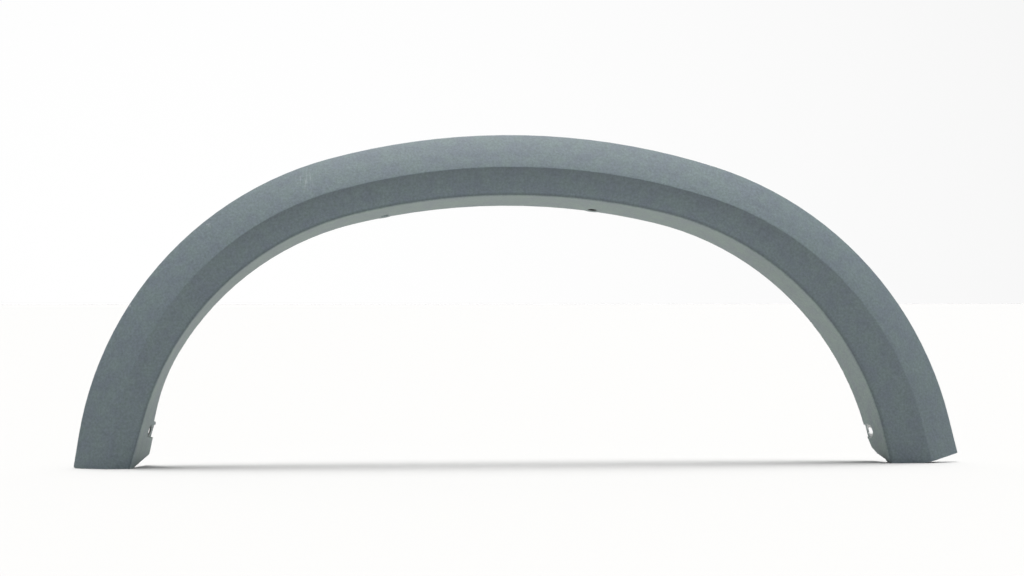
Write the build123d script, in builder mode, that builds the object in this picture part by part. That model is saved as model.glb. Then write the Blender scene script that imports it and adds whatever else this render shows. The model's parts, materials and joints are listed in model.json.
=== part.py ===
"""Wheel arch trim: one moulded piece, front towards -Y, soles on Z = 0, origin midway along and across."""

import os

from build123d import *

# outer edge of the arch, seen from the front: one crown arc, then a shoulder arc and a straight leg a side
crown_height = 339.0
crown_radius = 717.5
crown_angle = 16.2
left_shoulder = 349.0
left_leg_angle = 81.7
right_shoulder = 368.0
right_leg_angle = 74.8
leg_run = 130.0
arch_tilt = 0.9

# section through the crown, depth measured back from the crease
wall = 2.8
band_width = 33.8
face_width = 28.5
band_depth = 20.0
band_hollow = 0.9
rim_depth = 3.5
rim_round = 0.9
crease_round = 2.2
face_spare = 19.5
face_setback = 2.4
hollow_reach = 22.0
lip_round = 1.8
lip_lead = 0.05
lip_steps = 4

# wheel opening, where the face turns into the return flange: how far its arcs and legs leave the outer ones
crown_draw = 34.0
left_opening_turn = 14.8
left_draw = 56.5
left_leg_taper = 6.5
right_opening_turn = 12.1
right_draw = 57.0
right_leg_taper = -2.3

# return flange, leaning into the opening, more so at the crown and where its left leg tucks in
flange_depth = 52.0
flange_start = 4.0
flange_lean = 5.9
crown_drop = 3.6
tuck_turn = 60.0
left_tuck = 87.0
left_tuck_angle = 3.5
cut_past = 30.0

# feet: level sole, bevels under the flanges, rising bevel under the right band
sole_far = 700.0
left_foot_corner = 450.2
left_corner_round = 2.5
left_foot_inner = 393.5
left_bevel_run = 24.0
left_bevel_rise = 16.5
right_foot_inner = 388.0
right_bevel_run = 12.0
right_bevel_rise = 15.8
right_foot_crease = 422.5
right_foot_outer = 470.0
right_band_rise = 11.1
right_corner_run = 15.0
right_corner_rise = 27.0

# stiffening webs and clip seats behind the face, angles measured from the crown
web_thickness = 2.0
web_depth = 20.5
crown_webs = 5
crown_web_span = 26.0
shoulder_webs = 5
shoulder_web_start = 22.0
shoulder_web_span = 52.0
seat_length = 26.0
seat_width = 20.0
seat_inset = 46.0
seat_plate = 2.2
seat_slot_length = 17.0
seat_slot_width = 7.0
crown_seats = 2
crown_seat_span = 19.5
shoulder_seats = 2
shoulder_seat_start = 28.5
shoulder_seat_span = 26.0

# screw fixings in the return flange: holes by their run from the crown, slots by their rise from the soles
screw_diameter = 8.0
screw_depth = 45.0
ear_radius = 10.0
left_screw_run = 142.5
right_screw_run = 77.0
slot_width = 6.5
left_slot_length = 9.0
right_slot_length = 14.0
pocket_width = 13.0
pocket_lead = 8.0
pocket_sink = 1.2
left_slot_rise = 32.798
left_slot_depth = 48.0
right_slot_rise = 39.138
right_slot_depth = 42.0

# tab at the left foot, where the flange runs deeper around its slot
tab_above = 10.0
tab_below = 60.0
tab_reach = 14.0
tab_round = 5.0

arch_plane = Plane.XZ.rotated((0, arch_tilt, 0))
section_plane = Plane(
    arch_plane.from_local_coords((0, crown_height, 0)), x_dir=(0, 1, 0), z_dir=-arch_plane.x_dir
)
section_end = band_width + face_width + face_spare
hollow_end = band_width + hollow_reach
crown_centre = Vector(0, crown_height - crown_radius)
opening_height = crown_height - band_width - face_width
opening_radius = crown_radius - crown_draw


def half_arch(side):
    """Outer edge from the crown down past one foot, side -1 left and +1 right."""
    radius = left_shoulder if side < 0 else right_shoulder
    end = left_leg_angle if side < 0 else right_leg_angle
    with BuildLine(arch_plane) as half:
        crown = JernArc((0, crown_height), (side, 0), crown_radius, -side * crown_angle)
        shoulder = JernArc(crown @ 1, crown % 1, radius, -side * (end - crown_angle))
        Line(shoulder @ 1, shoulder @ 1 + leg_run * (shoulder % 1))
    return half.wires()[0]


def opening_half(side, depth, growth):
    """Half of the opening outline at a depth, grown into the moulding, from its crown down past one foot."""
    back = depth / flange_depth
    grow = growth - flange_lean * back
    top = opening_height + grow - crown_drop * back
    if side < 0:
        turn, radius, tuck = left_opening_turn, left_shoulder - left_draw, left_tuck * back
        end = left_leg_angle - left_leg_taper + left_tuck_angle * back
    else:
        turn, radius, tuck = right_opening_turn, right_shoulder - right_draw, 0
        end = right_leg_angle - right_leg_taper
    crown = JernArc((0, top), (side, 0), opening_radius + grow, -side * turn)
    shoulder = JernArc(crown @ 1, crown % 1, radius + grow, -side * (tuck_turn - turn))
    foot = JernArc(shoulder @ 1, shoulder % 1, radius + grow - tuck, -side * (end - tuck_turn))
    return Line(foot @ 1, foot @ 1 + leg_run * (foot % 1))


def opening_outline(depth, growth):
    """Closed opening outline at a depth, grown into the moulding."""
    with BuildSketch(arch_plane.offset(-depth)) as outline:
        with BuildLine():
            left_leg = opening_half(-1, depth, growth)
            right_leg = opening_half(1, depth, growth)
            Line(left_leg @ 1, right_leg @ 1)
        make_face()
    return outline.sketch


def lip_outline(step):
    """Opening outline at one step round the lip, from the face into the flange."""
    arc = Vector(lip_round, 0, 0).rotate(Axis.Z, 90 * step / lip_steps)
    return opening_outline(face_setback - lip_lead + lip_round - arc.X, lip_round - arc.Y)


def opening_edge(side, depth):
    """Half of the opening edge at a depth, in the arch plane's own coordinates."""
    with BuildLine() as half:
        opening_half(side, depth, 0)
    return half.wires()[0]


def crown_place(side, run):
    """Place on the opening's front edge, by its run from the crown."""
    return opening_edge(side, 0).position_at(run, PositionMode.LENGTH)


def foot_place(side, rise):
    """Place on the opening's front edge, by its rise above the soles."""
    level = Edge.make_line((0, rise), (side * sole_far, rise))
    return Vector(opening_edge(side, 0) & level)


def flange_plane(side, place, depth):
    """Plane on the return flange behind a place, facing into the opening, its own Y running back."""
    along = opening_edge(side, 0).tangent_at(place)
    across = Plane(
        arch_plane.from_local_coords(place),
        x_dir=(0, 1, 0),
        z_dir=arch_plane.from_local_coords(along * -side),
    )
    slope = opening_edge(side, flange_depth).distance_to(place) / flange_depth
    skin = Plane((depth, slope * depth, 0), x_dir=(0, 0, 1), z_dir=(-slope, 1, 0))
    return Plane(across.location * skin.location)


def sole_region(lift):
    """Everything below the soles of the feet, seen from the front, raised by lift."""
    corner_height = left_corner_round + lift
    with BuildSketch(Plane.XZ) as region:
        with BuildLine():
            side = Line((-sole_far, corner_height), (-left_foot_corner - left_corner_round, corner_height))
            corner = JernArc(side @ 1, (0, -1), left_corner_round, 90)
            Polyline(
                corner @ 1,
                (-left_foot_inner, lift),
                (-left_foot_inner + left_bevel_run, left_bevel_rise + lift),
                (right_foot_inner - right_bevel_run, right_bevel_rise + lift),
                (right_foot_inner, lift),
                (right_foot_crease, lift),
                (right_foot_outer, right_band_rise + lift),
                (sole_far, right_band_rise + lift),
                (sole_far, -sole_far),
                (-sole_far, -sole_far),
                side @ 0,
            )
        make_face()
    return region.sketch


def shoulder_centre(radius, side):
    """Centre of a shoulder arc, on the line from the crown centre to where the arcs meet."""
    return crown_centre + Vector(0, crown_radius - radius).rotate(Axis.Z, -side * crown_angle)


def spread(inset, crown_count, crown_span, count, start, span):
    """Places along the arch at one inset from its outer edge: crown, left shoulder, right shoulder."""
    places = []
    with Locations(crown_centre):
        with PolarLocations(
            crown_radius - inset, crown_count, 90 - crown_span / 2, crown_span, endpoint=True
        ) as crown:
            places += crown.locations
    with Locations(shoulder_centre(left_shoulder, -1)):
        with PolarLocations(left_shoulder - inset, count, 90 + start, span, endpoint=True) as left:
            places += left.locations
    with Locations(shoulder_centre(right_shoulder, 1)):
        with PolarLocations(right_shoulder - inset, count, 90 - start, -span, endpoint=True) as right:
            places += right.locations
    return places


def seat_spread():
    """Places of the clip seats."""
    return spread(
        seat_inset,
        crown_seats,
        crown_seat_span,
        shoulder_seats,
        shoulder_seat_start,
        shoulder_seat_span,
    )


halves = [half_arch(-1), half_arch(1)]
crown_screws = [
    flange_plane(-1, crown_place(-1, left_screw_run), screw_depth),
    flange_plane(1, crown_place(1, right_screw_run), screw_depth),
]
left_slot_plane = flange_plane(-1, foot_place(-1, left_slot_rise), left_slot_depth)
right_slot_plane = flange_plane(1, foot_place(1, right_slot_rise), right_slot_depth)
mouth = [opening_outline(-cut_past, lip_round)]
mouth += [lip_outline(step) for step in range(lip_steps + 1)]
mouth.append(opening_outline(flange_depth + 2 * cut_past, 0))

# skin section: flat land, hollow face, crease, hollow band and rim, one wall thick
with BuildSketch(section_plane) as skin_section:
    with BuildLine():
        flat = Line((face_setback, section_end), (face_setback, hollow_end))
        TangentArc(flat @ 1, (0, band_width), tangent=flat % 1)
        SagittaArc((0, band_width), (band_depth, 0), band_hollow)
        Line((band_depth, 0), (band_depth + rim_depth, 0))
        offset(amount=wall, side=Side.LEFT)
    make_face()
    fillet(skin_section.vertices().sort_by_distance((0, band_width))[0], crease_round)
    fillet(skin_section.vertices().sort_by_distance((band_depth, 0))[0], rim_round)

# room behind the skin, from the middle of its wall to the backs of the webs
with BuildSketch(section_plane) as room_section:
    Polygon(
        (web_depth, wall / 2),
        (band_depth, wall / 2),
        (wall / 2, band_width + wall / 2),
        (face_setback + wall / 2, hollow_end),
        (face_setback + wall / 2, section_end),
        (web_depth, section_end),
        align=None,
    )

with BuildPart() as room:
    for half in halves:
        sweep(sections=room_section.sketch, path=half)
    loft(
        sections=[opening_outline(-cut_past, wall / 2), opening_outline(flange_depth, wall / 2)],
        ruled=True,
        mode=Mode.SUBTRACT,
    )

with BuildPart() as webs:
    add(room.part)
    with BuildSketch(arch_plane):
        with Locations(
            *spread(
                section_end / 2,
                crown_webs,
                crown_web_span,
                shoulder_webs,
                shoulder_web_start,
                shoulder_web_span,
            )
        ):
            Rectangle(section_end, web_thickness)
        with Locations(*seat_spread()):
            Rectangle(seat_width, seat_length)
            with Locations((0, web_thickness)):
                Rectangle(seat_width - 2 * web_thickness, seat_length, mode=Mode.SUBTRACT)
    extrude(amount=flange_depth, both=True, mode=Mode.INTERSECT)
    with BuildSketch(arch_plane.offset(-web_depth)):
        with Locations(*seat_spread()):
            Rectangle(seat_width, seat_length)
            with Locations((0, (seat_length - seat_slot_length) / 2)):
                Rectangle(seat_slot_width, seat_slot_length, mode=Mode.SUBTRACT)
    extrude(amount=seat_plate)

with BuildPart() as end_walls:
    add(room.part)
    extrude(sole_region(wall), amount=flange_depth, both=True, mode=Mode.INTERSECT)

# what is cut off behind the flange, leaving the ears and the tab, and off its corner at the right foot
with BuildPart() as back_trim:
    with BuildSketch(arch_plane.offset(-flange_depth)):
        Rectangle(2 * sole_far, 2 * sole_far)
    extrude(amount=-2 * cut_past)
    with BuildSketch(*crown_screws):
        Circle(ear_radius)
    extrude(amount=ear_radius, both=True, mode=Mode.SUBTRACT)
    with BuildSketch(left_slot_plane):
        with Locations(((tab_below - tab_above) / 2, 0)):
            RectangleRounded(tab_above + tab_below, 2 * tab_reach, tab_round)
    extrude(amount=tab_reach, both=True, mode=Mode.SUBTRACT)
    with BuildSketch(Plane.YZ):
        Polygon(
            (flange_depth, right_corner_rise),
            (flange_depth - right_corner_run, 0),
            (flange_depth + cut_past, 0),
            (flange_depth + cut_past, right_corner_rise),
            align=None,
        )
    extrude(amount=sole_far)

with BuildPart() as moulding:
    for half in halves:
        sweep(sections=skin_section.sketch, path=half)
    loft(
        sections=[opening_outline(flange_start, wall), opening_outline(flange_depth + cut_past, wall)],
        ruled=True,
    )
    loft(sections=mouth, ruled=True, mode=Mode.SUBTRACT)
    add(back_trim.part, mode=Mode.SUBTRACT)
    add(webs.part)
    add(end_walls.part)
    extrude(sole_region(0), amount=sole_far, both=True, mode=Mode.SUBTRACT)

    with BuildSketch(*crown_screws):
        Circle(screw_diameter / 2)
    extrude(amount=ear_radius, both=True, mode=Mode.SUBTRACT)

    with BuildSketch(left_slot_plane, right_slot_plane):
        with Locations((0, cut_past)):
            SlotOverall(2 * (cut_past + pocket_lead) + pocket_width, pocket_width, rotation=90)
    extrude(amount=pocket_sink, both=True, mode=Mode.SUBTRACT)
    with BuildSketch(left_slot_plane):
        SlotOverall(left_slot_length, slot_width, rotation=90)
    with BuildSketch(right_slot_plane):
        SlotOverall(right_slot_length, slot_width, rotation=90)
    extrude(amount=ear_radius, both=True, mode=Mode.SUBTRACT)

middle = moulding.part.bounding_box().center()
with BuildPart() as arch_trim:
    add(Pos(-middle.X, -middle.Y, 0) * moulding.part)

arch_trim.part.label = "arch_trim"
os.makedirs("parts", exist_ok=True)
export_step(arch_trim.part, "parts/arch_trim.step")
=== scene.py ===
"""Wheel arch trim: the moulding with its bowed band, its grained grey plastic, and a pale studio."""

import json
import math

import bmesh
import bpy
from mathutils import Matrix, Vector


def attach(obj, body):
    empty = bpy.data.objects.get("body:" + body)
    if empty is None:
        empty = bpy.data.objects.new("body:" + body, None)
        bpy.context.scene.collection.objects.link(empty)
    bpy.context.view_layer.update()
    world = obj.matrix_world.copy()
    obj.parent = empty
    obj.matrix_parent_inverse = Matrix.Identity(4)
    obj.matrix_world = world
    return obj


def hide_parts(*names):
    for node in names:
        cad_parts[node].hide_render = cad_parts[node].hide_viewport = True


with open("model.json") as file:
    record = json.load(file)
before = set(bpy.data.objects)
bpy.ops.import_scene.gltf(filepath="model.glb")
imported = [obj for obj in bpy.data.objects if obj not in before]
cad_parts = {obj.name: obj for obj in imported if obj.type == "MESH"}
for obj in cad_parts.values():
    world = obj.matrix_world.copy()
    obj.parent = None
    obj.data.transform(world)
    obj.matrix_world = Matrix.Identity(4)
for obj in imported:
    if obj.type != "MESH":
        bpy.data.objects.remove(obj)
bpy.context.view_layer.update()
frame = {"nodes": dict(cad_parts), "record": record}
scene = bpy.context.scene
solid = frame["nodes"]["arch_trim"]
MOUNTS = {mount["name"]: mount["pos_m"] for mount in frame["record"]["mounts"]}

# outlines of the arch in metres, as the solid has them: a crown arc, then on each side, left as -1 and
# right as 1, a shoulder arc that starts at the turn and a straight leg that starts at the leg angle
ARCH_TILT = math.radians(0.9)
ARCH_SHIFT = 0.0051003
OUTER = {
    "height": 0.339,
    "radius": 0.7175,
    "turn": {-1: math.radians(16.2), 1: math.radians(16.2)},
    "shoulder": {-1: 0.349, 1: 0.368},
    "leg": {-1: math.radians(81.7), 1: math.radians(74.8)},
}
OPENING = {
    "height": 0.2767,
    "radius": 0.6835,
    "turn": {-1: math.radians(14.8), 1: math.radians(12.1)},
    "shoulder": {-1: 0.2925, 1: 0.311},
    "leg": {-1: math.radians(75.2), 1: math.radians(77.1)},
}

# sloping band: its width and depth, how hollow the solid has it, how far the real one bows out, and how
# far behind its front the back of its wall lies
CREASE_Y = -0.0311988
BAND_WIDTH = 0.0338
BAND_DEPTH = 0.020
BAND_HOLLOW = 0.0009
BAND_BOW = 0.0013
BAND_WALL = 0.0045
BAND_ROWS = 9

# face below the crease and rounded lip of the opening: each back is a depth behind the crease, and the
# rounding starts and ends at heights above the opening's edge
FACE_ROWS = 8
FACE_BACK = 0.0058
LEAST_WIDTH = 0.001
LIP_ROUND = 0.0018
LIP_END = 0.0003
LIP_BACK = 0.0046

# mesh: vertices closer than this are one, and edges sharper than this are not smoothed over
SAME_PLACE = 1e-6
SHARP_ANGLE = math.radians(28)

# painted: shade under the crease, light towards the lip, fading off the crown, shade on the lip, warm
# bounce light on the return flange
FACE_PAINTED_SHADE = 0.17
FACE_SPAN = 0.30
FADE_LOW = 0.17
FADE_HIGH = 0.27
LIP_PAINTED_SHADE = 0.78
FLANGE_PAINTED_BOUNCE = (1.11, 1.095, 0.99)
BOUNCE_AT_FEET = 0.35
BOUNCE_HEIGHT = 0.2
PLAIN = (1, 1, 1)


def fan(angle):
    """Direction from an arc's centre, by its angle from straight up."""
    return Vector((math.sin(angle), math.cos(angle)))


def clamp(value):
    """A value held between nothing and one."""
    return min(max(value, 0), 1)


def within(point, outline):
    """How far a point lies inside an outline of the arch, seen from the front."""
    across = point.x + ARCH_SHIFT
    place = Vector((
        across * math.cos(ARCH_TILT) - point.z * math.sin(ARCH_TILT),
        across * math.sin(ARCH_TILT) + point.z * math.cos(ARCH_TILT),
    ))
    side = -1 if place.x < 0 else 1
    place.x = abs(place.x)
    from_crown = place - Vector((0, outline["height"] - outline["radius"]))
    if math.atan2(from_crown.x, from_crown.y) < outline["turn"][side]:
        return outline["radius"] - from_crown.length
    shoulder = outline["shoulder"][side]
    leg = outline["leg"][side]
    from_shoulder = from_crown - (outline["radius"] - shoulder) * fan(outline["turn"][side])
    if math.atan2(from_shoulder.x, from_shoulder.y) < leg:
        return shoulder - from_shoulder.length
    return shoulder - from_shoulder.dot(fan(leg))


def band_share(point):
    """Share of the way across the band, from the outer edge to the crease."""
    return within(point, OUTER) / BAND_WIDTH


def face_share(point):
    """Share of the way across the face, from the crease to the lip of the opening."""
    below_crease = within(point, OUTER) - BAND_WIDTH
    above_lip = -within(point, OPENING)
    return below_crease / max(below_crease + above_lip, LEAST_WIDTH)


def crossing(share):
    """Share of the full bow at a share of the way across the band."""
    return 4 * share * (1 - share)


def on_band(point):
    """Whether a point lies on the band, on either face of its wall."""
    share = band_share(point)
    if not 0 < share < 1:
        return False
    slope = CREASE_Y + BAND_DEPTH * (1 - share)
    front = slope + BAND_HOLLOW * crossing(share)
    return front - BAND_HOLLOW < point.y < front + BAND_WALL


def on_face(point):
    """Whether a point lies on the face below the crease, on either face of its wall."""
    return 0 < face_share(point) < 1 and point.y < CREASE_Y + FACE_BACK


def cut_rows(shape, belongs, share, rows):
    """Cut the part of a mesh that belongs to a surface along even shares of its width."""
    for row in range(1, rows):
        level = row / rows
        cut = []
        for edge in [edge for edge in shape.edges if all(belongs(vert.co) for vert in edge.verts)]:
            start, end = (share(vert.co) - level for vert in edge.verts)
            if start * end < 0:
                _, made = bmesh.utils.edge_split(edge, edge.verts[0], start / (start - end))
                cut.append(made)
        bmesh.ops.connect_verts(shape, verts=cut)


def painted_light_and_shade(point):
    """Painted light and shade at a point: shade under the crease turning to light towards the lip, shade on
    the lip, warm bounce light on the return flange.
    """
    above_lip = -within(point, OPENING)
    # painted shade under the crease, turning to painted light towards the lip
    if on_face(point) and above_lip > LIP_ROUND:
        crown = clamp((point.z - FADE_LOW) / (FADE_HIGH - FADE_LOW))
        return [1 + crown * (FACE_SPAN * face_share(point) - FACE_PAINTED_SHADE)] * 3
    # painted shade along the lip's rounding
    if LIP_END < above_lip <= LIP_ROUND and point.y < CREASE_Y + LIP_BACK:
        return [LIP_PAINTED_SHADE] * 3
    # painted warm bounce light on the return flange, brighter towards the feet
    if above_lip < LIP_END:
        low = 1 - clamp(point.z / BOUNCE_HEIGHT)
        return [tint + BOUNCE_AT_FEET * low for tint in FLANGE_PAINTED_BOUNCE]
    return PLAIN


def trim_skin():
    """The solid's mesh with its band bowed out towards the front, and its painted light and shade."""
    mesh = bpy.data.meshes.new("arch_trim_skin")
    shape = bmesh.new()
    shape.from_mesh(solid.data)
    bmesh.ops.remove_doubles(shape, verts=shape.verts, dist=SAME_PLACE)
    cut_rows(shape, on_band, band_share, BAND_ROWS)
    cut_rows(shape, on_face, face_share, FACE_ROWS)
    for vert in [vert for vert in shape.verts if on_band(vert.co)]:
        vert.co.y -= (BAND_HOLLOW + BAND_BOW) * crossing(band_share(vert.co))
    for face in shape.faces:
        face.smooth = True
    shape.to_mesh(mesh)
    shape.free()
    mesh.attributes.remove(mesh.attributes["custom_normal"])
    mesh.set_sharp_from_angle(angle=SHARP_ANGLE)
    # painted light and shade, kept on each vertex
    tints = mesh.attributes.new("painted_light_and_shade", "FLOAT_COLOR", "POINT")
    for vert, tint in zip(mesh.vertices, tints.data):
        tint.color = (*painted_light_and_shade(vert.co), 1)
    return mesh


def node(tree, kind, links=None, **settings):
    """A shader node with its settings, its inputs set to values or linked to sockets."""
    made = tree.nodes.new(kind)
    for key, value in settings.items():
        setattr(made, key, value)
    for key, value in (links or {}).items():
        if isinstance(value, bpy.types.NodeSocket):
            tree.links.new(value, made.inputs[key])
        else:
            made.inputs[key].default_value = value
    return made


def noise(tree, where, waves, detail, roughness):
    """Noise through the moulding, in waves a metre."""
    links = {"Vector": where, "Scale": waves, "Detail": detail, "Roughness": roughness}
    return node(tree, "ShaderNodeTexNoise", links).outputs["Fac"]


def remap(tree, value, low, high, to_low, to_high):
    """A value's range stretched to another, held at its ends."""
    links = {"Value": value, "From Min": low, "From Max": high, "To Min": to_low, "To Max": to_high}
    return node(tree, "ShaderNodeMapRange", links).outputs["Result"]


def maths(tree, operation, first, second):
    """Two values put together."""
    return node(tree, "ShaderNodeMath", {0: first, 1: second}, operation=operation).outputs[0]


def scaled(tree, vector, scale):
    """A vector or colour made longer or brighter."""
    links = {0: vector, "Scale": scale}
    return node(tree, "ShaderNodeVectorMath", links, operation="SCALE").outputs[0]


def blend(tree, share, first, second, kind="MIX"):
    """Two colours put together by a share, on the mixing node's colour sockets."""
    links = {0: share, 6: first, 7: second}
    return node(tree, "ShaderNodeMix", links, data_type="RGBA", blend_type=kind).outputs[2]


def spot(tree, where, place, reach, core):
    """One at a place, fading to nothing at its reach, full within its core."""
    away = node(tree, "ShaderNodeVectorMath", {0: where, 1: place}, operation="DISTANCE").outputs["Value"]
    return remap(tree, away, core, reach, 1.0, 0.0)


# colours of the plastic: two greys of its mottling, rubbed places, the pocket's painted reflection and the
# holes' painted shade
BLUE_GREY = (0.182, 0.220, 0.247, 1)
GREEN_GREY = (0.193, 0.245, 0.249, 1)
RUBBED = (0.47, 0.51, 0.52, 1)
POCKET_REFLECTION = (0.72, 0.73, 0.72, 1)
SHADED = (0.035, 0.038, 0.036, 1)

# noises in the plastic: waves a metre, detail and roughness
GRAIN = (420, 3, 0.65)
MOTTLE = (65, 4, 0.6)
BREAKS = (420, 2, 0.5)
STREAKS = (520, 2, 0.5)
STREAKS_STRETCH = (1, 0.2, 0.12)

# what the noises are stretched to: a range of the noise, then the range that it becomes
MOTTLE_RANGE = (0.38, 0.62, 0.0, 1.0)
SPECKLE_RANGE = (0.3, 0.7, 0.83, 1.17)
BREAKS_RANGE = (0.42, 0.6, 0.15, 1.0)
STREAKS_RANGE = (0.54, 0.68, 0.0, 0.3)
ROUGHNESS_RANGE = (0.3, 0.7, 0.52, 0.66)
BUMP_STRENGTH = 0.25
BUMP_DEPTH = 0.0006
SPECULAR = 0.4

# chips and rubs on the outer edge, band and face: place, reach and strength
MARKS = [
    ((-0.4014, -0.0112, 0.1637), 0.0022, 0.9),
    ((-0.3220, -0.0130, 0.2455), 0.0045, 0.35),
    ((0.1954, -0.0112, 0.3082), 0.0022, 0.6),
    ((0.2212, -0.0297, 0.2416), 0.0012, 0.7),
]
MARK_CORE = 0.25

# rubbed streaks, the pocket's painted reflection and the holes' painted shade: place or mount, reach and
# full core
STREAKS_AT = (-0.2253, -0.0232, 0.2924)
STREAKS_REACH = 0.016
STREAKS_CORE = 0.004
POCKET_REACH = 0.0085
POCKET_CORE = 0.006
SHADED_HOLES = {"left_foot_slot": 0.0075, "right_crown_screw": 0.006}
SHADED_CORE = 0.004


def grained_plastic():
    """Unpainted matte grey plastic: mottling, fine grain, painted light and shade, rubs, a painted
    reflection in a pocket and painted shade at holes.
    """
    look = bpy.data.materials.new("trim_plastic_look")
    look.use_nodes = True
    tree = look.node_tree
    shader = tree.nodes["Principled BSDF"]
    where = node(tree, "ShaderNodeTexCoord").outputs["Object"]
    grain = noise(tree, where, *GRAIN)
    mottle = remap(tree, noise(tree, where, *MOTTLE), *MOTTLE_RANGE)
    colour = blend(tree, mottle, BLUE_GREY, GREEN_GREY)
    colour = scaled(tree, colour, remap(tree, grain, *SPECKLE_RANGE))
    # painted light and shade, read from the mesh's vertices
    tints = node(tree, "ShaderNodeAttribute", attribute_name="painted_light_and_shade").outputs["Color"]
    colour = blend(tree, 1.0, colour, tints, "MULTIPLY")
    broken = remap(tree, noise(tree, where, *BREAKS), *BREAKS_RANGE)
    for place, reach, strength in MARKS:
        share = maths(tree, "MULTIPLY", spot(tree, where, place, reach, reach * MARK_CORE), strength)
        colour = blend(tree, maths(tree, "MULTIPLY", share, broken), colour, RUBBED)
    stretched = node(tree, "ShaderNodeMapping", {"Vector": where, "Scale": STREAKS_STRETCH}).outputs[0]
    streaks = remap(tree, noise(tree, stretched, *STREAKS), *STREAKS_RANGE)
    rubbed = spot(tree, where, STREAKS_AT, STREAKS_REACH, STREAKS_CORE)
    colour = blend(tree, maths(tree, "MULTIPLY", rubbed, streaks), colour, RUBBED)
    # painted reflection of the white surroundings on the floor of the right foot slot's pocket
    pocket = spot(tree, where, MOUNTS["right_foot_slot"], POCKET_REACH, POCKET_CORE)
    colour = blend(tree, pocket, colour, POCKET_REFLECTION)
    # painted shade in and around two holes
    for name, reach in SHADED_HOLES.items():
        colour = blend(tree, spot(tree, where, MOUNTS[name], reach, SHADED_CORE), colour, SHADED)
    tree.links.new(colour, shader.inputs["Base Color"])
    tree.links.new(remap(tree, grain, *ROUGHNESS_RANGE), shader.inputs["Roughness"])
    links = {"Height": grain, "Strength": BUMP_STRENGTH, "Distance": BUMP_DEPTH}
    tree.links.new(node(tree, "ShaderNodeBump", links).outputs[0], shader.inputs["Normal"])
    shader.inputs["Specular IOR Level"].default_value = SPECULAR
    return look


# the trim, in place of the solid that it is made from
skin = trim_skin()
skin.materials.append(grained_plastic())
trim = bpy.data.objects.new("arch_trim_skin", skin)
scene.collection.objects.link(trim)
even = trim.modifiers.new("even_normals", "WEIGHTED_NORMAL")
even.keep_sharp = True
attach(trim, "root")
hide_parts("arch_trim")

# pale floor at the soles
FLOOR_SIZE = 60
FLOOR_COLOUR = (0.575, 0.572, 0.565, 1)
bpy.ops.mesh.primitive_plane_add(size=FLOOR_SIZE)
floor = bpy.context.object
floor.name = "floor"
floor_look = bpy.data.materials.new("floor_look")
floor_look.use_nodes = True
floor_shader = floor_look.node_tree.nodes["Principled BSDF"]
floor_shader.inputs["Base Color"].default_value = FLOOR_COLOUR
floor_shader.inputs["Roughness"].default_value = 1.0
floor_shader.inputs["Specular IOR Level"].default_value = 0.0
floor.data.materials.append(floor_look)

# soft studio light all round: azimuth from the back towards the right, elevation, sharpness, level, tint
LIGHTS = {
    "back": (0, 0, 2, 1.0, (1, 1, 1)),
    "front": (180, 0, 2, 0.2, (0.9, 1, 1.2)),
    "left": (-90, 0, 2, 0.15, (1, 1, 1)),
    "right": (90, 0, 2, 0.25, (1, 1, 1)),
    "overhead": (0, 90, 40, 17.9, (1, 1, 1)),
    "behind": (0, 78, 30, 7.8, (1, 1, 1)),
    "side": (90, 70, 30, 3.4, (1, 1, 1)),
}


def soft_light(tree, toward, azimuth, elevation, sharpness, level, tint):
    """Light from one direction of the world, falling off around it."""
    flat = math.cos(math.radians(elevation))
    axis = (
        math.sin(math.radians(azimuth)) * flat,
        math.cos(math.radians(azimuth)) * flat,
        math.sin(math.radians(elevation)),
    )
    links = {0: toward, 1: axis}
    facing = node(tree, "ShaderNodeVectorMath", links, operation="DOT_PRODUCT").outputs["Value"]
    lobe = maths(tree, "POWER", maths(tree, "MAXIMUM", facing, 0.0), sharpness)
    return scaled(tree, [level * part for part in tint], lobe)


world = bpy.data.worlds.new("studio")
scene.world = world
world.use_nodes = True
sky = world.node_tree
toward = node(sky, "ShaderNodeTexCoord").outputs["Generated"]
glow, *others = [soft_light(sky, toward, *light) for light in LIGHTS.values()]
for other in others:
    glow = node(sky, "ShaderNodeVectorMath", {0: glow, 1: other}, operation="ADD").outputs[0]
sky.links.new(glow, sky.nodes["Background"].inputs["Color"])
sky.nodes["Background"].inputs["Strength"].default_value = 1.0

# camera as in the photograph, level and a little left of the middle
LENS = 103.36
CAMERA_TURN = math.radians(-7.04)
CAMERA_DISTANCE = 3.0
LOOK_AT = Vector((-0.01474, -0.0312, 0.18186))
lens = bpy.data.cameras.new("camera")
camera = bpy.data.objects.new("camera", lens)
scene.collection.objects.link(camera)
scene.camera = camera
lens.lens = LENS
away = Vector((math.sin(CAMERA_TURN), -math.cos(CAMERA_TURN), 0))
camera.location = LOOK_AT + away * CAMERA_DISTANCE
camera.rotation_euler = (-away).to_track_quat("-Z", "Y").to_euler()
scene.view_settings.view_transform = "Standard"
